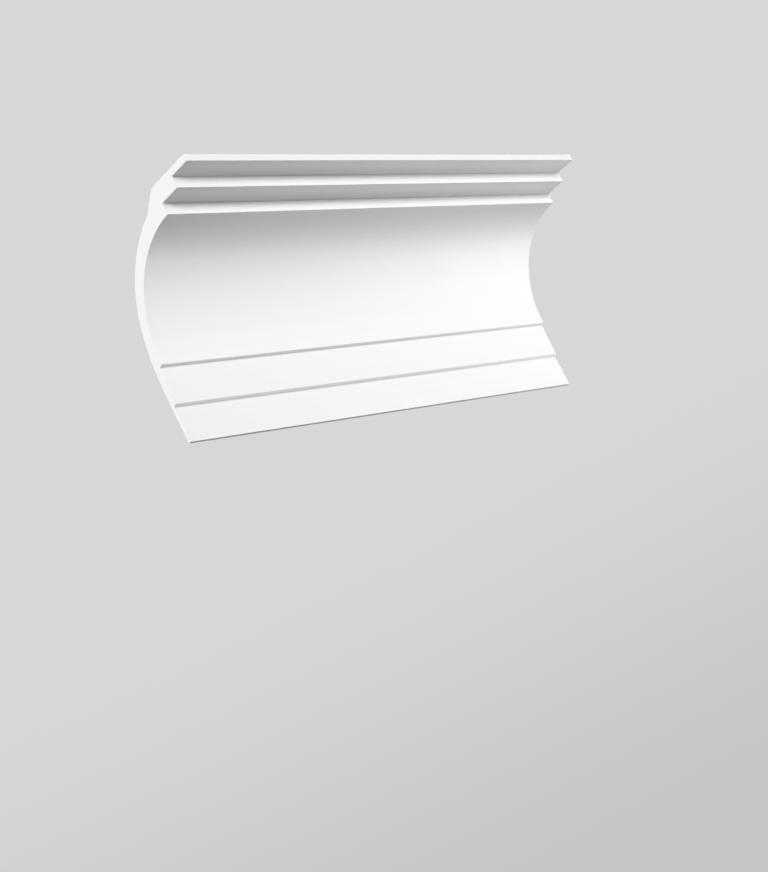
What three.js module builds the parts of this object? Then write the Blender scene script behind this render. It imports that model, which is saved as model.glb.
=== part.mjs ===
// A length of ceiling cornice moulding, cut square at both ends.
// Seen in section it has a stepped top, a deep cove and two plain bands that step back to the wall.
// Millimetres: +X runs along the moulding, +Y points to the wall and +Z up to the ceiling.
// The origin is the middle of the flat strip at the back that bears on the wall.

import * as THREE from 'three';

// Overall size: the length, the depth down the wall and the reach out along the ceiling
const LENGTH = 420;
const DROP = 151.5;
const PROJECTION = 107.3;

// Stepped top, from the front edge inwards: upright faces and the level soffits between them
const NOSE_HEIGHT = 5.2;
const UPPER_SOFFIT_DEPTH = 17.2;
const UPPER_FASCIA_HEIGHT = 8.5;
const LOWER_SOFFIT_DEPTH = 17.5;
const LOWER_FASCIA_HEIGHT = 8.6;

// Foot of the moulding: how far each face stands off the wall
const COVE_FOOT_THICKNESS = 8.8;
const UPPER_BAND_TOP_THICKNESS = 6.2;
const UPPER_BAND_FOOT_THICKNESS = 5.1;
const LOWER_BAND_THICKNESS = 2.6;

// Heights of the two plain bands, and the fall of the small ledge above each of them
const UPPER_BAND_HEIGHT = 26.7;
const LOWER_BAND_HEIGHT = 25.8;
const UPPER_LEDGE_FALL = 1;
const LOWER_LEDGE_FALL = 1.4;

// Back: a flat strip on the ceiling, a splay, a long curve and a flat strip on the wall
const CEILING_STRIP = 37.7;
const SPLAY_RUN = 14.1;
const SPLAY_FALL = 11.8;
const WALL_STRIP = 39;
const BACK_SLOPE = THREE.MathUtils.degToRad(22);
const BACK_UPPER_PULL = 47;
const BACK_LOWER_PULL = 41;

// Straight stretches that stand for each curve
const COVE_SEGMENTS = 48;
const BACK_SEGMENTS = 40;

// Matt white primed face
const FACE_COLOUR = 0xf2f2f4;
const FACE_ROUGHNESS = 0.62;

// The section is drawn with the wall at 0 across and the ceiling at 0 up,
// so every point of it lies at or below zero both ways.

function steppedTop() {
  const upperFascia = -PROJECTION + UPPER_SOFFIT_DEPTH;
  const lowerFascia = upperFascia + LOWER_SOFFIT_DEPTH;
  const lowerSoffit = -NOSE_HEIGHT - UPPER_FASCIA_HEIGHT;
  const coveHead = lowerSoffit - LOWER_FASCIA_HEIGHT;
  return [
    new THREE.Vector2(-PROJECTION, 0),
    new THREE.Vector2(-PROJECTION, -NOSE_HEIGHT),
    new THREE.Vector2(upperFascia, -NOSE_HEIGHT),
    new THREE.Vector2(upperFascia, lowerSoffit),
    new THREE.Vector2(lowerFascia, lowerSoffit),
    new THREE.Vector2(lowerFascia, coveHead),
  ];
}

function steppedFoot() {
  const lowerBandHead = -DROP + LOWER_BAND_HEIGHT;
  const upperBandFoot = lowerBandHead + LOWER_LEDGE_FALL;
  const upperBandHead = upperBandFoot + UPPER_BAND_HEIGHT;
  const coveFoot = upperBandHead + UPPER_LEDGE_FALL;
  return [
    new THREE.Vector2(-COVE_FOOT_THICKNESS, coveFoot),
    new THREE.Vector2(-UPPER_BAND_TOP_THICKNESS, upperBandHead),
    new THREE.Vector2(-UPPER_BAND_FOOT_THICKNESS, upperBandFoot),
    new THREE.Vector2(-LOWER_BAND_THICKNESS, lowerBandHead),
    new THREE.Vector2(-LOWER_BAND_THICKNESS, -DROP),
    new THREE.Vector2(0, -DROP),
  ];
}

// Quarter ellipse, level where it leaves the stepped top and upright where it meets the foot
function cove(head, foot) {
  const depth = foot.x - head.x;
  const height = head.y - foot.y;
  const clockwise = true;
  return new THREE.EllipseCurve(head.x, foot.y, depth, height, Math.PI / 2, 0, clockwise);
}

// Rises off the wall strip and leans over to the lower edge of the splay
function backCurve() {
  const start = new THREE.Vector2(0, -DROP + WALL_STRIP);
  const end = new THREE.Vector2(-PROJECTION + CEILING_STRIP + SPLAY_RUN, -SPLAY_FALL);
  const startHandle = new THREE.Vector2(start.x, start.y + BACK_LOWER_PULL);
  const slope = new THREE.Vector2(Math.cos(BACK_SLOPE), -Math.sin(BACK_SLOPE));
  const endHandle = end.clone().addScaledVector(slope, BACK_UPPER_PULL);
  return new THREE.CubicBezierCurve(start, startHandle, endHandle, end);
}

function mouldingSection() {
  const top = steppedTop();
  const foot = steppedFoot();
  const covePoints = cove(top.at(-1), foot[0]).getPoints(COVE_SEGMENTS).slice(1, -1);
  const backPoints = backCurve().getPoints(BACK_SEGMENTS);
  const ceilingBack = new THREE.Vector2(-PROJECTION + CEILING_STRIP, 0);
  return new THREE.Shape([...top, ...covePoints, ...foot, ...backPoints, ceilingBack]);
}

// The section's across, up and run directions become the moulding's Y, Z and X
function corniceLength() {
  const geometry = new THREE.ExtrudeGeometry(mouldingSection(), { depth: LENGTH, bevelEnabled: false });
  const across = new THREE.Vector3(0, 1, 0);
  const up = new THREE.Vector3(0, 0, 1);
  const along = new THREE.Vector3(1, 0, 0);
  geometry.applyMatrix4(new THREE.Matrix4().makeBasis(across, up, along));
  geometry.translate(-LENGTH / 2, 0, DROP - WALL_STRIP / 2);
  const material = new THREE.MeshStandardMaterial({ color: FACE_COLOUR, roughness: FACE_ROUGHNESS, metalness: 0 });
  const mesh = new THREE.Mesh(geometry, material);
  mesh.name = 'cornice_length';
  return mesh;
}

const cornice = new THREE.Group();
cornice.add(corniceLength());

export default cornice;
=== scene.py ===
"""Models the finish of a length of white cornice moulding, with a plain studio and a camera.

The file is laid out as a Blender add-on and is run as a script. Lengths are metres, in the
moulding's own frame: +X along it, +Y to the wall and +Z up to the ceiling.
"""

import math
from typing import NamedTuple

import bmesh
import bpy
from bpy.props import FloatProperty, FloatVectorProperty, IntProperty, PointerProperty
from bpy.types import NodeSocket, Operator, Panel, PropertyGroup
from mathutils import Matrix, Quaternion, Vector


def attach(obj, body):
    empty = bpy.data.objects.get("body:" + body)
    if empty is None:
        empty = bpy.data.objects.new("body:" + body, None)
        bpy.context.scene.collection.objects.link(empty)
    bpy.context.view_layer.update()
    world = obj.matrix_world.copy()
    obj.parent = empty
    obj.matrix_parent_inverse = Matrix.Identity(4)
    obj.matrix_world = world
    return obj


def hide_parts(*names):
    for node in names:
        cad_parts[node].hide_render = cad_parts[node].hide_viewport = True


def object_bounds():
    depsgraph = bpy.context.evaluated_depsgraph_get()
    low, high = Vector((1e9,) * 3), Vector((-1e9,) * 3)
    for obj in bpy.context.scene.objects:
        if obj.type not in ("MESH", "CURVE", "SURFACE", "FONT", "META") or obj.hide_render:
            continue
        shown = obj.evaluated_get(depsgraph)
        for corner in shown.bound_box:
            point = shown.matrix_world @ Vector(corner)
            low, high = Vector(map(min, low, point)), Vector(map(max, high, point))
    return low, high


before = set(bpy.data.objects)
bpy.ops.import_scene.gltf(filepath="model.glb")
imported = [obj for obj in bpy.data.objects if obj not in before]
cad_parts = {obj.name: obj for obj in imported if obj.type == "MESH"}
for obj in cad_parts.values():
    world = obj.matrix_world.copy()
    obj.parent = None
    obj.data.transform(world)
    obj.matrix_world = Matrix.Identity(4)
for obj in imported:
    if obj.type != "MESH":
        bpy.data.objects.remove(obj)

bl_info = {
    "name": "Cornice Moulding Length",
    "version": (1, 0, 0),
    "blender": (4, 5, 0),
    "location": "View3D > Sidebar > Cornice",
    "description": "Models a stepped and coved cornice length, its finish and a plain studio",
    "category": "Add Mesh",
}

NODE = "cornice_length"
BODY = "root"

# Box of the solid, before anything is added to the scene
CAD_LOW, CAD_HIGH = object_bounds()
CAD_SIZE = CAD_HIGH - CAD_LOW

MM = 0.001
WHITE = (1.0, 1.0, 1.0, 1.0)

# Points are in the same plane within the first distance, and are merged within the second
SAME_PLACE = 1e-6
MERGE_DISTANCE = 1e-5

# Edges that bend more than this are rounded, with a round bevel
SHARP_EDGE = math.radians(25)
ROUND_BEVEL = 0.5

# Faces that meet at less than this shade as one surface
SMOOTH_LIMIT = math.radians(50)

# The X of a face's normal is under the first value where the face looks across the moulding,
# and over the second where it looks along it
ACROSS = 0.5
ALONG = 0.9

# Fineness of each pattern of the grain
GRAIN_DETAIL = {"Stipple": 3.0, "Streaks": 4.0, "Patches": 2.0}

# Streaks are this many times longer along the moulding than across it
STREAK_LENGTH = 100.0

# Noise values mostly lie between these limits
NOISE_LOW = 0.3
NOISE_HIGH = 0.7


class Relief(NamedTuple):
    """A fine unevenness: how strongly it shows, and its depth."""

    strength: float
    depth: float


class Surface(NamedTuple):
    """A finish: the scales of its grain, its roughness, its gloss and its two reliefs."""

    grain: dict
    smoothest: float
    roughest: float
    specular: float
    lines: Relief
    dots: Relief


PRIMER = Surface(
    grain={"Stipple": 900.0, "Streaks": 260.0, "Patches": 22.0},
    smoothest=0.52,
    roughest=0.64,
    specular=0.35,
    lines=Relief(strength=0.12, depth=0.2 * MM),
    dots=Relief(strength=0.15, depth=0.1 * MM),
)
SKIN = Surface(
    grain={"Stipple": 420.0, "Streaks": 120.0, "Patches": 35.0},
    smoothest=0.68,
    roughest=0.82,
    specular=0.3,
    lines=Relief(strength=0.25, depth=0.4 * MM),
    dots=Relief(strength=0.3, depth=0.2 * MM),
)
FOAM = Surface(
    grain={"Patches": 60.0},
    smoothest=0.7,
    roughest=0.8,
    specular=0.25,
    lines=Relief(strength=0.15, depth=0.1 * MM),
    dots=Relief(strength=0.25, depth=0.15 * MM),
)

# How much of the shade colour the streaks of the primer and of the bare skin take on
PRIMER_STREAK_TONE = 0.5
SKIN_STREAK_TONE = 1.0

# The sawn end: the scales of its cells and saw lines, and how far the lines wander
CELL_SCALE = 1400.0
SAW_SCALE = 180.0
SAW_WANDER = 2.5

# An open cell takes on this much of the painted shade colour at its middle, and none past its edge
PORE_SHADE = 0.35
PORE_EDGE = 0.35


class Softbox(NamedTuple):
    """A soft light: its turn from straight in front, its rise, its size and its distance.

    The turn and the rise are degrees.
    """

    turn: float
    rise: float
    width: float
    height: float
    distance: float = 1.8


# The soft lights stand round a point in the moulding
LIGHT_CENTRE = Vector((0.0, -0.05, 0.05))
LIGHT_SPREAD = math.radians(120)
SOFTBOXES = {
    "left_light": Softbox(turn=-40, rise=10, width=0.7, height=0.5),
    "front_light": Softbox(turn=20, rise=12, width=0.7, height=0.5),
    "low_light": Softbox(turn=75, rise=-15, width=0.5, height=0.3, distance=0.9),
    "end_light": Softbox(turn=-110, rise=5, width=0.7, height=0.5),
    "back_light": Softbox(turn=165, rise=45, width=1.0, height=0.8),
}

FLOOR_SIDES = 96
FLOOR_ROUGHNESS = 0.9
FLOOR_SPECULAR = 0.1

# The camera's long side in millimetres, and the nearest and farthest that it sees
SENSOR_WIDTH = 36.0
CAMERA_NEAR = 0.01
CAMERA_FAR = 100.0


def size_property(name, description, millimetres):
    """Returns a length that is given in millimetres."""
    metres = millimetres * MM
    return FloatProperty(name=name, description=description, default=metres, min=0.0, unit="LENGTH")


def angle_property(name, description, degrees):
    """Returns an angle that is given in degrees."""
    radians = math.radians(degrees)
    return FloatProperty(name=name, description=description, default=radians, subtype="ANGLE")


def colour_property(name, description, default):
    """Returns a colour."""
    return FloatVectorProperty(
        name=name, description=description, default=default, min=0.0, max=1.0, size=3, subtype="COLOR"
    )


def amount_property(name, description, default):
    """Returns a plain amount that can't be negative."""
    return FloatProperty(name=name, description=description, default=default, min=0.0)


def count_property(name, description, default, least):
    """Returns a whole number."""
    return IntProperty(name=name, description=description, default=default, min=least)


def power_property(name, description, watts):
    """Returns the power of a light."""
    return FloatProperty(name=name, description=description, default=watts, min=0.0, unit="POWER")


def place_property(name, description, default):
    """Returns a point in the moulding's frame."""
    return FloatVectorProperty(name=name, description=description, default=default, subtype="XYZ")


class CorniceProfile(PropertyGroup):
    """Sizes of the moulding's section and the fineness of its mesh."""

    length: size_property("Length", "Length between the two cut ends", CAD_SIZE.x / MM)
    projection: size_property("Projection", "Reach along the ceiling", CAD_SIZE.y / MM)
    drop: size_property("Drop", "Depth down the wall", CAD_SIZE.z / MM)
    nose_height: size_property("Nose", "Height of the front edge", 5.2)
    upper_soffit: size_property("Upper Soffit", "Depth of the soffit behind the nose", 17.2)
    upper_fascia: size_property("Upper Fascia", "Height of the first step", 8.5)
    lower_soffit: size_property("Lower Soffit", "Depth of the soffit behind the first step", 17.5)
    lower_fascia: size_property("Lower Fascia", "Height of the second step", 8.6)
    cove_foot: size_property("Cove Foot", "Thickness at the foot of the cove", 8.8)
    upper_band_top: size_property("Upper Band Top", "Thickness at the head of the upper band", 6.2)
    upper_band_foot: size_property("Upper Band Foot", "Thickness at the foot of the upper band", 5.1)
    lower_band: size_property("Lower Band", "Thickness of the lower band", 2.6)
    upper_band_height: size_property("Upper Band Height", "Height of the upper band", 26.7)
    lower_band_height: size_property("Lower Band Height", "Height of the lower band", 25.8)
    upper_ledge_fall: size_property("Upper Ledge Fall", "Fall of the ledge over the upper band", 1)
    lower_ledge_fall: size_property("Lower Ledge Fall", "Fall of the ledge over the lower band", 1.4)
    ceiling_strip: size_property("Ceiling Strip", "Depth of the flat on the ceiling", 37.7)
    splay_run: size_property("Splay Run", "Run of the splay behind the ceiling strip", 14.1)
    splay_fall: size_property("Splay Fall", "Fall of the splay behind the ceiling strip", 11.8)
    wall_strip: size_property("Wall Strip", "Height of the flat on the wall", 39)
    back_slope: angle_property("Back Slope", "Slope of the back under the splay", 22)
    back_upper_pull: size_property("Back Upper Pull", "Pull of the back curve at the splay", 47)
    back_lower_pull: size_property("Back Lower Pull", "Pull of the back curve at the wall strip", 41)
    arris_radius: size_property("Arris Radius", "Rounding of the outer edges", 0.3)
    corner_radius: size_property("Corner Radius", "Rounding of the inner corners", 0.3)
    cut_radius: size_property("Cut Edge Radius", "Rounding of the cut ends", 0.25)
    cove_steps: count_property("Cove Steps", "Facets round the cove", 72, least=8)
    back_steps: count_property("Back Steps", "Facets round the back", 56, least=8)
    run_steps: count_property("Run Steps", "Divisions along the length", 42, least=1)
    round_steps: count_property("Round Steps", "Facets round each edge", 3, least=1)


class CorniceFinish(PropertyGroup):
    """Colours of the moulding's surfaces, and the reach of the painted shade in the inner corners."""

    face_colour: colour_property("Face", "Matt white primer", (0.83, 0.808, 0.83))
    face_shade: colour_property("Face Shade", "Thin streaks in the primer", (0.80, 0.778, 0.802))
    # Painted shade: the primer is darkened towards the inner corners under the soffits and ledges,
    # over the run and fall below
    painted_corner_shade: colour_property("Corner", "Thin primer in the inner corners", (0.64, 0.62, 0.64))
    shade_run: amount_property("Corner Run", "Share of a soffit's depth with thin primer", 0.6)
    shade_fall: size_property("Corner Fall", "Reach of thin primer down from a soffit", 1.1)
    core_colour: colour_property("Core", "Foam on the cut ends", (0.84, 0.82, 0.84))
    # Painted shade: the open cells of the cut ends are darkened at their middles, where they are
    # deepest
    pore_shade_colour: colour_property("Pore", "Open cells of the foam", (0.68, 0.66, 0.68))
    back_colour: colour_property("Back", "Bare moulded skin", (0.80, 0.782, 0.79))
    back_shade: colour_property("Back Shade", "Dull streaks on the bare skin", (0.765, 0.748, 0.755))


class CorniceStudio(PropertyGroup):
    """Floor, surround, soft lights and camera."""

    floor_height: FloatProperty(
        name="Floor", description="Height of the floor", default=-1.3, unit="LENGTH"
    )
    floor_radius: FloatProperty(
        name="Floor Radius", description="Reach of the floor", default=40, unit="LENGTH"
    )
    floor_colour: colour_property("Floor Colour", "Matt floor under the lights", (0.1, 0.1, 0.1))
    floor_glow: colour_property("Floor Glow", "Pale tone that the floor shows", (0.53, 0.53, 0.53))
    floor_light: colour_property("Floor Light", "Light that the floor gives", (0.2, 0.2, 0.2))
    backdrop_low: amount_property("Backdrop Low", "Brightness of the backdrop at floor level", 0.56)
    backdrop_high: amount_property("Backdrop High", "Brightness of the backdrop higher up", 0.68)
    backdrop_rise: angle_property("Backdrop Rise", "Height at which the backdrop is fully bright", 13)
    surround_light: amount_property("Surround", "Strength of the even light from all round", 0.2)
    front_light: power_property("Front Light", "Soft light in front, a little to the right", 6.5)
    left_light: power_property("Left Light", "Soft light in front, to the left", 6.6)
    low_light: power_property("Low Light", "Soft light low on the right, under the soffits", 1.95)
    end_light: power_property("End Light", "Soft light on the left end, from behind", 7.4)
    back_light: power_property("Back Light", "Soft light behind and above", 11.0)
    camera_place: place_property("Camera", "Camera position", (-1.04232, -0.83071, -0.38937))
    camera_aim: place_property("Aim", "Middle of the picture", (-0.07150, -0.03484, -0.05158))
    camera_roll: angle_property("Roll", "Turn of the camera about its line of sight", -27.1)
    focal_length: FloatProperty(
        name="Focal Length", description="Lens of the camera", default=78.22, subtype="DISTANCE_CAMERA"
    )


def edit_mesh(piece):
    """Returns the mesh being edited, with fresh normals."""
    mesh = bmesh.from_edit_mesh(piece.data)
    mesh.normal_update()
    return mesh


def is_at(edge, axis, place):
    """Tells whether an edge lies at a place on an axis."""
    return all(abs(getattr(vertex.co, axis) - place) < SAME_PLACE for vertex in edge.verts)


def select_edges(piece, wanted):
    """Selects only the edges that the test accepts."""
    bpy.ops.mesh.select_mode(type="EDGE")
    bpy.ops.mesh.select_all(action="DESELECT")
    for edge in edit_mesh(piece).edges:
        if wanted(edge):
            edge.select_set(True)
    bmesh.update_edit_mesh(piece.data)


def select_faces(piece, wanted):
    """Selects only the faces that the test accepts."""
    bpy.ops.mesh.select_mode(type="FACE")
    bpy.ops.mesh.select_all(action="DESELECT")
    for face in edit_mesh(piece).faces:
        if wanted(face):
            face.select_set(True)
    bmesh.update_edit_mesh(piece.data)


def cove_points(head, foot, steps):
    """Returns points on the quarter ellipse from the stepped top to the foot, without the first."""
    depth = foot.x - head.x
    height = head.y - foot.y
    points = []
    for step in range(1, steps + 1):
        turn = math.pi / 2 * step / steps
        points.append(Vector((head.x + depth * math.sin(turn), foot.y + height * math.cos(turn))))
    return points


def back_points(profile):
    """Returns points on the curve from the wall strip to the splay."""
    start = Vector((0.0, profile.wall_strip - profile.drop))
    end_across = profile.ceiling_strip + profile.splay_run - profile.projection
    end = Vector((end_across, -profile.splay_fall))
    slope = Vector((math.cos(profile.back_slope), -math.sin(profile.back_slope)))
    start_handle = start + Vector((0.0, profile.back_lower_pull))
    end_handle = end + slope * profile.back_upper_pull
    points = []
    for step in range(profile.back_steps + 1):
        t = step / profile.back_steps
        near = start * (1 - t) ** 3 + start_handle * 3 * t * (1 - t) ** 2
        far = end_handle * 3 * t * t * (1 - t) + end * t ** 3
        points.append(near + far)
    return points


def inner_corners(profile):
    """Returns where the soffits and the ledges meet the faces under them.

    The points are measured from the wall and the ceiling, as all of the section is.
    """
    upper = Vector((profile.upper_soffit - profile.projection, -profile.nose_height))
    lower = upper + Vector((profile.lower_soffit, -profile.upper_fascia))
    lower_ledge = Vector((-profile.lower_band, profile.lower_band_height - profile.drop))
    upper_foot = lower_ledge.y + profile.lower_ledge_fall
    upper_ledge = Vector((-profile.upper_band_top, upper_foot + profile.upper_band_height))
    return upper, lower, upper_ledge, lower_ledge


def soffit_depths(profile):
    """Returns the depths of the soffits and the ledges, in the order of their inner corners."""
    upper_ledge = profile.cove_foot - profile.upper_band_top
    lower_ledge = profile.upper_band_foot - profile.lower_band
    return profile.upper_soffit, profile.lower_soffit, upper_ledge, lower_ledge


def section_points(profile):
    """Returns the section from the foot of the nose round to its head."""
    front = -profile.projection
    upper, lower, upper_ledge, lower_ledge = inner_corners(profile)
    cove_head = lower - Vector((0.0, profile.lower_fascia))
    cove_foot = Vector((-profile.cove_foot, upper_ledge.y + profile.upper_ledge_fall))
    steps = [(front, upper.y), upper, (upper.x, lower.y), lower]
    foot = [
        upper_ledge,
        (-profile.upper_band_foot, lower_ledge.y + profile.lower_ledge_fall),
        lower_ledge,
        (-profile.lower_band, -profile.drop),
        (0.0, -profile.drop),
    ]
    top = [(front + profile.ceiling_strip, 0.0), (front, 0.0)]
    return [
        *map(Vector, steps),
        cove_head,
        *cove_points(cove_head, cove_foot, profile.cove_steps),
        *map(Vector, foot),
        *back_points(profile),
        *map(Vector, top),
    ]


def add_nose(profile, ceiling):
    """Adds the upright front edge, which the rest is drawn out of."""
    bpy.ops.object.select_all(action="DESELECT")
    place = (0.0, -profile.projection, ceiling - profile.nose_height / 2)
    bpy.ops.mesh.primitive_plane_add(size=1.0, location=place, rotation=(math.pi / 2, 0.0, 0.0))
    nose = bpy.context.object
    nose.scale = (profile.length, profile.nose_height, 1.0)
    bpy.ops.object.transform_apply(location=True, rotation=True, scale=True)
    return nose


def draw_round_section(piece, profile, ceiling):
    """Extrudes the nose's lower edge round the section until it comes back to the nose."""
    foot_of_nose = ceiling - profile.nose_height
    select_edges(piece, lambda edge: is_at(edge, "z", foot_of_nose))
    points = section_points(profile)
    for here, there in zip(points, points[1:]):
        step = (0.0, there.x - here.x, there.y - here.y)
        bpy.ops.mesh.extrude_edges_move(TRANSFORM_OT_translate={"value": step})
    bpy.ops.mesh.select_all(action="SELECT")
    bpy.ops.mesh.remove_doubles(threshold=MERGE_DISTANCE)


def close_ends(piece, profile):
    """Fills both cut ends and turns every face outwards."""
    for end in (-profile.length / 2, profile.length / 2):
        select_edges(piece, lambda edge: edge.is_boundary and is_at(edge, "x", end))
        bpy.ops.mesh.edge_face_add()
    bpy.ops.mesh.select_all(action="SELECT")
    bpy.ops.mesh.normals_make_consistent(inside=False)


def round_edges(piece, profile):
    """Rounds the arrises, the inner corners and the rims of the cut ends."""
    half = profile.length / 2

    def is_long(edge):
        return edge.calc_length() > half

    def is_arris(edge):
        return is_long(edge) and edge.calc_face_angle_signed(0.0) > SHARP_EDGE

    def is_inner_corner(edge):
        return is_long(edge) and edge.calc_face_angle_signed(0.0) < -SHARP_EDGE

    def is_rim(edge):
        return not is_long(edge) and (is_at(edge, "x", -half) or is_at(edge, "x", half))

    for wanted, radius in (
        (is_arris, profile.arris_radius),
        (is_inner_corner, profile.corner_radius),
        (is_rim, profile.cut_radius),
    ):
        select_edges(piece, wanted)
        bpy.ops.mesh.bevel(
            offset=radius,
            segments=profile.round_steps,
            profile=ROUND_BEVEL,
            affect="EDGES",
            clamp_overlap=False,
        )


def divide_length(piece, profile):
    """Cuts the long faces across, and the many-sided ends into small faces."""
    select_edges(piece, lambda edge: edge.calc_length() > profile.length / 2)
    bpy.ops.mesh.subdivide(number_cuts=profile.run_steps - 1)
    select_faces(piece, lambda face: len(face.verts) > 4)
    bpy.ops.mesh.quads_convert_to_tris(quad_method="BEAUTY", ngon_method="BEAUTY")
    bpy.ops.mesh.tris_convert_to_quads()


def check_closed(piece):
    """Stops the script if the mesh has an open edge."""
    if not all(edge.is_manifold for edge in edit_mesh(piece).edges):
        raise RuntimeError("The moulding's mesh isn't closed")


def smooth_shading(piece):
    """Shades the curves smooth and keeps the flats flat."""
    bpy.ops.object.shade_smooth_by_angle(angle=SMOOTH_LIMIT)
    bpy.ops.object.modifier_add(type="WEIGHTED_NORMAL")
    weighting = piece.modifiers[-1]
    weighting.keep_sharp = True
    bpy.ops.object.modifier_apply(modifier=weighting.name)


def new_material(name):
    """Returns a node material, its node tree and its own coordinates."""
    material = bpy.data.materials.new(name)
    material.use_nodes = True
    tree = material.node_tree
    place = tree.nodes.new("ShaderNodeTexCoord").outputs["Object"]
    return material, tree, place


def scale_name(pattern):
    """Returns the name of the grain group's socket for a pattern's scale."""
    return pattern + " Scale"


def grain_group():
    """Returns the node group that gives a fine stipple, long streaks and soft patches."""
    name = "surface_grain"
    if name in bpy.data.node_groups:
        return bpy.data.node_groups[name]
    group = bpy.data.node_groups.new(name, "ShaderNodeTree")
    group.interface.new_socket("Vector", in_out="INPUT", socket_type="NodeSocketVector")
    nodes, links = group.nodes, group.links
    inputs = nodes.new("NodeGroupInput")
    outputs = nodes.new("NodeGroupOutput")
    place = inputs.outputs["Vector"]
    drawn_out = nodes.new("ShaderNodeMapping")
    drawn_out.inputs["Scale"].default_value = (1.0 / STREAK_LENGTH, 1.0, 1.0)
    links.new(place, drawn_out.inputs["Vector"])
    for pattern, detail in GRAIN_DETAIL.items():
        scale = scale_name(pattern)
        group.interface.new_socket(scale, in_out="INPUT", socket_type="NodeSocketFloat")
        group.interface.new_socket(pattern, in_out="OUTPUT", socket_type="NodeSocketFloat")
        noise = nodes.new("ShaderNodeTexNoise")
        noise.inputs["Detail"].default_value = detail
        vector = drawn_out.outputs["Vector"] if pattern == "Streaks" else place
        links.new(vector, noise.inputs["Vector"])
        links.new(inputs.outputs[scale], noise.inputs["Scale"])
        links.new(noise.outputs["Fac"], outputs.inputs[pattern])
    return group


def add_grain(tree, place, scales):
    """Places the grain group in a material and returns its patterns."""
    grain = tree.nodes.new("ShaderNodeGroup")
    grain.node_tree = grain_group()
    tree.links.new(place, grain.inputs["Vector"])
    for pattern, scale in scales.items():
        grain.inputs[scale_name(pattern)].default_value = scale
    return grain.outputs


def mixed_colour(tree, factor, first, second):
    """Returns a mix between a plain colour and a plain one or another mix.

    The node itself keeps the factor between 0 and 1.
    """
    mix = tree.nodes.new("ShaderNodeMix")
    mix.data_type = "RGBA"
    mix.inputs["A"].default_value = (*first, 1.0)
    if isinstance(second, NodeSocket):
        tree.links.new(second, mix.inputs["B"])
    else:
        mix.inputs["B"].default_value = (*second, 1.0)
    tree.links.new(factor, mix.inputs["Factor"])
    return mix.outputs["Result"]


def ranged(tree, value, low, high, start=NOISE_LOW, end=NOISE_HIGH):
    """Returns a value that runs from low to high as another runs from start to end."""
    spread = tree.nodes.new("ShaderNodeMapRange")
    spread.inputs["From Min"].default_value = start
    spread.inputs["From Max"].default_value = end
    spread.inputs["To Min"].default_value = low
    spread.inputs["To Max"].default_value = high
    tree.links.new(value, spread.inputs["Value"])
    return spread.outputs["Result"]


def add_bump(tree, height, relief, under=None):
    """Returns the normal of a bump, laid over another bump where one is given."""
    bump = tree.nodes.new("ShaderNodeBump")
    bump.inputs["Strength"].default_value = relief.strength
    bump.inputs["Distance"].default_value = relief.depth
    tree.links.new(height, bump.inputs["Height"])
    if under is not None:
        tree.links.new(under, bump.inputs["Normal"])
    return bump.outputs["Normal"]


def set_surface(tree, surface, colour, lines, dots, patches):
    """Joins a finish's colour, roughness and reliefs to the material's shader."""
    shader = tree.nodes["Principled BSDF"].inputs
    roughness = ranged(tree, patches, surface.smoothest, surface.roughest)
    normal = add_bump(tree, dots, surface.dots, under=add_bump(tree, lines, surface.lines))
    tree.links.new(colour, shader["Base Color"])
    tree.links.new(roughness, shader["Roughness"])
    tree.links.new(normal, shader["Normal"])
    shader["Specular IOR Level"].default_value = surface.specular


def corner_distance(tree, place, corner, run, fall):
    """Returns how far a point is from an inner corner, as a share of the painted corner shade's reach.
    """
    share = tree.nodes.new("ShaderNodeMapping")
    share.inputs["Scale"].default_value = (0.0, 1.0 / run, 1.0 / fall)
    share.inputs["Location"].default_value = (0.0, -corner.y / run, -corner.z / fall)
    tree.links.new(place, share.inputs["Vector"])
    length = tree.nodes.new("ShaderNodeVectorMath")
    length.operation = "LENGTH"
    tree.links.new(share.outputs["Vector"], length.inputs["Vector"])
    return length.outputs["Value"]


def nearest_corner(tree, place, corners, finish):
    """Returns the least of a point's distances from the inner corners."""
    nearest, *others = [
        corner_distance(tree, place, corner, depth * finish.shade_run, finish.shade_fall)
        for corner, depth in corners
    ]
    for other in others:
        nearer = tree.nodes.new("ShaderNodeMath")
        nearer.operation = "MINIMUM"
        tree.links.new(nearest, nearer.inputs[0])
        tree.links.new(other, nearer.inputs[1])
        nearest = nearer.outputs["Value"]
    return nearest


def primed_face(finish, corners):
    """Smooth matt white primer, streaked along the length, with painted shade that darkens it towards
    the inner corners.
    """
    material, tree, place = new_material("matt_primer")
    grain = add_grain(tree, place, PRIMER.grain)
    tone = ranged(tree, grain["Streaks"], low=0.0, high=PRIMER_STREAK_TONE)
    primer = mixed_colour(tree, tone, finish.face_colour, finish.face_shade)
    distance = nearest_corner(tree, place, corners, finish)
    # Painted shade: the primer darkens to the corner colour at the inner corners and fades out over
    # the run and fall
    colour = mixed_colour(tree, distance, finish.painted_corner_shade, primer)
    set_surface(tree, PRIMER, colour, grain["Streaks"], grain["Stipple"], grain["Patches"])
    return material


def bare_back(finish):
    """Plain moulded skin, duller than the primed face, drawn out along the length."""
    material, tree, place = new_material("bare_back")
    grain = add_grain(tree, place, SKIN.grain)
    tone = ranged(tree, grain["Streaks"], low=0.0, high=SKIN_STREAK_TONE)
    colour = mixed_colour(tree, tone, finish.back_colour, finish.back_shade)
    set_surface(tree, SKIN, colour, grain["Streaks"], grain["Stipple"], grain["Patches"])
    return material


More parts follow.
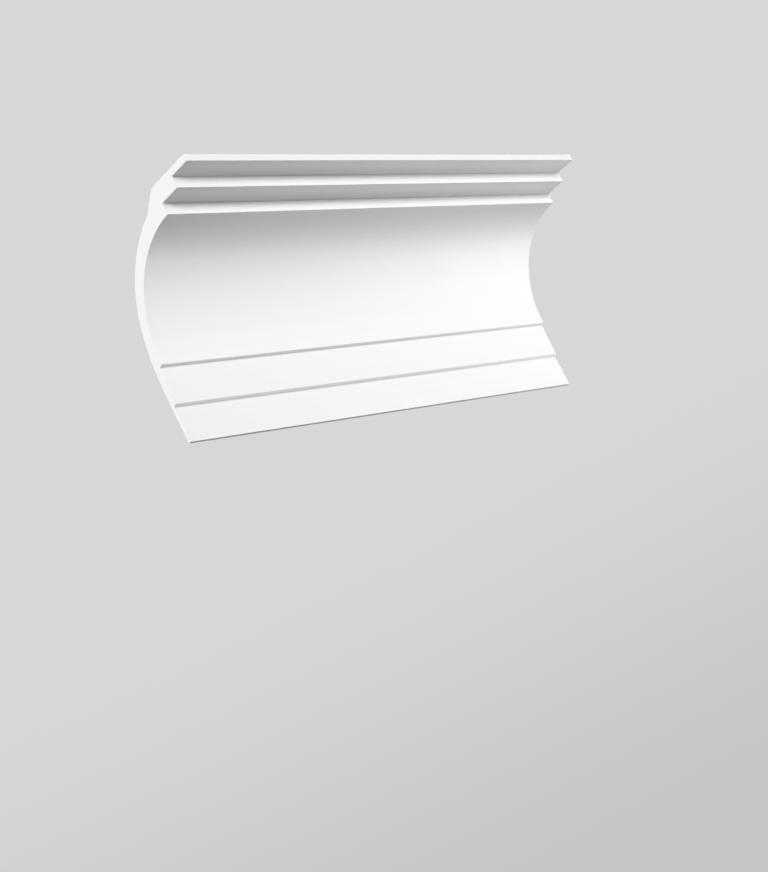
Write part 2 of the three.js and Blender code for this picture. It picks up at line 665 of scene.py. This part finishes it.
def sawn_end(finish):
    """Fine closed foam, with open cells darkened by painted shade, and faint saw lines across the cut.
    """
    material, tree, place = new_material("sawn_end")
    grain = add_grain(tree, place, FOAM.grain)
    cells = tree.nodes.new("ShaderNodeTexVoronoi")
    cells.inputs["Scale"].default_value = CELL_SCALE
    saw = tree.nodes.new("ShaderNodeTexWave")
    saw.bands_direction = "Z"
    saw.inputs["Scale"].default_value = SAW_SCALE
    saw.inputs["Distortion"].default_value = SAW_WANDER
    for texture in (cells, saw):
        tree.links.new(place, texture.inputs["Vector"])
    depth = cells.outputs["Distance"]
    # Painted shade: the cut end is darker where the cells' bump is deepest
    cell_shade = ranged(tree, depth, low=PORE_SHADE, high=0.0, start=0.0, end=PORE_EDGE)
    colour = mixed_colour(tree, cell_shade, finish.core_colour, finish.pore_shade_colour)
    set_surface(tree, FOAM, colour, saw.outputs["Fac"], depth, grain["Patches"])
    return material


def paint_faces(piece, finish, corners):
    """Gives the front, the back and the cut ends their own finishes."""

    def is_back(face):
        return face.normal.y + face.normal.z > 0.0 and abs(face.normal.x) < ACROSS

    def is_end(face):
        return abs(face.normal.x) > ALONG

    painted = (
        (primed_face(finish, corners), lambda face: True),
        (bare_back(finish), is_back),
        (sawn_end(finish), is_end),
    )
    for index, (material, test) in enumerate(painted):
        piece.data.materials.append(material)
        select_faces(piece, test)
        piece.active_material_index = index
        bpy.ops.object.material_slot_assign()


class CORNICE_OT_moulding(Operator):
    """Model the moulding from its section"""

    bl_idname = "cornice.moulding"
    bl_label = "Moulding"

    def execute(self, context):
        profile = context.scene.cornice_profile
        ceiling = CAD_HIGH.z
        piece = add_nose(profile, ceiling)
        piece.name = "cornice_moulding"
        bpy.ops.object.mode_set(mode="EDIT")
        draw_round_section(piece, profile, ceiling)
        close_ends(piece, profile)
        round_edges(piece, profile)
        divide_length(piece, profile)
        check_closed(piece)
        corners = [Vector((0.0, corner.x, ceiling + corner.y)) for corner in inner_corners(profile)]
        depths = soffit_depths(profile)
        paint_faces(piece, context.scene.cornice_finish, list(zip(corners, depths)))
        bpy.ops.object.mode_set(mode="OBJECT")
        smooth_shading(piece)
        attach(piece, BODY)
        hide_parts(NODE)
        return {"FINISHED"}


def pale_floor(studio):
    """Plain matt floor that shows its own pale tone and gives a soft light from below."""
    material, tree, _ = new_material("pale_floor")
    shader = tree.nodes["Principled BSDF"].inputs
    seen = tree.nodes.new("ShaderNodeLightPath").outputs["Is Camera Ray"]
    glow = mixed_colour(tree, seen, studio.floor_light, studio.floor_glow)
    tree.links.new(glow, shader["Emission Color"])
    shader["Emission Strength"].default_value = 1.0
    shader["Base Color"].default_value = (*studio.floor_colour, 1.0)
    shader["Roughness"].default_value = FLOOR_ROUGHNESS
    shader["Specular IOR Level"].default_value = FLOOR_SPECULAR
    return material


def add_floor(studio):
    """Lays a round floor well below the moulding."""
    bpy.ops.object.select_all(action="DESELECT")
    bpy.ops.mesh.primitive_circle_add(
        vertices=FLOOR_SIDES,
        radius=studio.floor_radius,
        fill_type="NGON",
        location=(0.0, 0.0, studio.floor_height),
    )
    floor = bpy.context.object
    floor.name = "studio_floor"
    bpy.ops.object.transform_apply(location=True, rotation=True, scale=True)
    floor.data.materials.append(pale_floor(studio))


def add_surround(studio):
    """Puts an even light all round and shows a plain backdrop that is paler above the floor."""
    world = bpy.data.worlds.new("studio_surround")
    bpy.context.scene.world = world
    world.use_nodes = True
    tree = world.node_tree
    light = tree.nodes["Background"]
    backdrop = tree.nodes.new("ShaderNodeBackground")
    for background in (light, backdrop):
        background.inputs["Color"].default_value = WHITE
    light.inputs["Strength"].default_value = studio.surround_light
    direction = tree.nodes.new("ShaderNodeTexCoord")
    height = tree.nodes.new("ShaderNodeSeparateXYZ")
    tree.links.new(direction.outputs["Generated"], height.inputs["Vector"])
    pale = ranged(
        tree,
        height.outputs["Z"],
        low=studio.backdrop_low,
        high=studio.backdrop_high,
        start=0.0,
        end=math.sin(studio.backdrop_rise),
    )
    pale.node.interpolation_type = "SMOOTHSTEP"
    tree.links.new(pale, backdrop.inputs["Strength"])
    seen = tree.nodes.new("ShaderNodeLightPath").outputs["Is Camera Ray"]
    either = tree.nodes.new("ShaderNodeMixShader")
    tree.links.new(seen, either.inputs["Fac"])
    tree.links.new(light.outputs["Background"], either.inputs[1])
    tree.links.new(backdrop.outputs["Background"], either.inputs[2])
    tree.links.new(either.outputs["Shader"], tree.nodes["World Output"].inputs["Surface"])


def add_softbox(name, softbox, power):
    """Stands a soft rectangular light by the moulding, facing it."""
    turn = math.radians(softbox.turn)
    rise = math.radians(softbox.rise)
    reach = math.cos(rise)
    way = Vector((math.sin(turn) * reach, -math.cos(turn) * reach, math.sin(rise)))
    bpy.ops.object.light_add(type="AREA", location=LIGHT_CENTRE + way * softbox.distance)
    lamp = bpy.context.object
    lamp.name = name
    lamp.rotation_euler = (-way).to_track_quat("-Z", "Y").to_euler()
    lamp.data.shape = "RECTANGLE"
    lamp.data.size = softbox.width
    lamp.data.size_y = softbox.height
    lamp.data.energy = power
    lamp.data.spread = LIGHT_SPREAD
    lamp.visible_camera = False


def add_camera(studio):
    """Sets the camera at the viewing angle of the picture."""
    place = Vector(studio.camera_place)
    sight = Vector(studio.camera_aim) - place
    bpy.ops.object.camera_add(location=place)
    camera = bpy.context.object
    camera.name = "studio_camera"
    level = sight.to_track_quat("-Z", "Y")
    roll = Quaternion((0.0, 0.0, 1.0), studio.camera_roll)
    camera.rotation_mode = "QUATERNION"
    camera.rotation_quaternion = level @ roll
    camera.data.lens = studio.focal_length
    camera.data.sensor_width = SENSOR_WIDTH
    camera.data.clip_start = CAMERA_NEAR
    camera.data.clip_end = CAMERA_FAR
    bpy.context.scene.camera = camera


class CORNICE_OT_stage(Operator):
    """Set up the floor, the light and the camera"""

    bl_idname = "cornice.stage"
    bl_label = "Stage"

    def execute(self, context):
        studio = context.scene.cornice_studio
        add_floor(studio)
        add_surround(studio)
        for name, softbox in SOFTBOXES.items():
            add_softbox(name, softbox, getattr(studio, name))
        add_camera(studio)
        context.scene.view_settings.view_transform = "Standard"
        return {"FINISHED"}


class CORNICE_PT_sidebar(Panel):
    """Lists the operators and the settings they use"""

    bl_label = "Cornice"
    bl_idname = "CORNICE_PT_sidebar"
    bl_space_type = "VIEW_3D"
    bl_region_type = "UI"
    bl_category = "Cornice"

    def draw(self, context):
        layout = self.layout
        for operator in OPERATORS:
            layout.operator(operator.bl_idname)
        for name in GROUPS:
            group = getattr(context.scene, name)
            box = layout.box()
            for setting in group.__annotations__:
                box.prop(group, setting)


GROUPS = {
    "cornice_profile": CorniceProfile,
    "cornice_finish": CorniceFinish,
    "cornice_studio": CorniceStudio,
}
OPERATORS = (CORNICE_OT_moulding, CORNICE_OT_stage)
CLASSES = (*GROUPS.values(), *OPERATORS, CORNICE_PT_sidebar)


def register():
    """Registers the classes and hangs the property groups on the scene."""
    for cls in CLASSES:
        bpy.utils.register_class(cls)
    for name, group in GROUPS.items():
        setattr(bpy.types.Scene, name, PointerProperty(type=group))


def unregister():
    """Takes the property groups and the classes away again."""
    for name in GROUPS:
        delattr(bpy.types.Scene, name)
    for cls in reversed(CLASSES):
        bpy.utils.unregister_class(cls)


def main():
    """Makes the moulding and the stage in order."""
    register()
    bpy.ops.cornice.moulding()
    bpy.ops.cornice.stage()


if __name__ == "__main__":
    main()
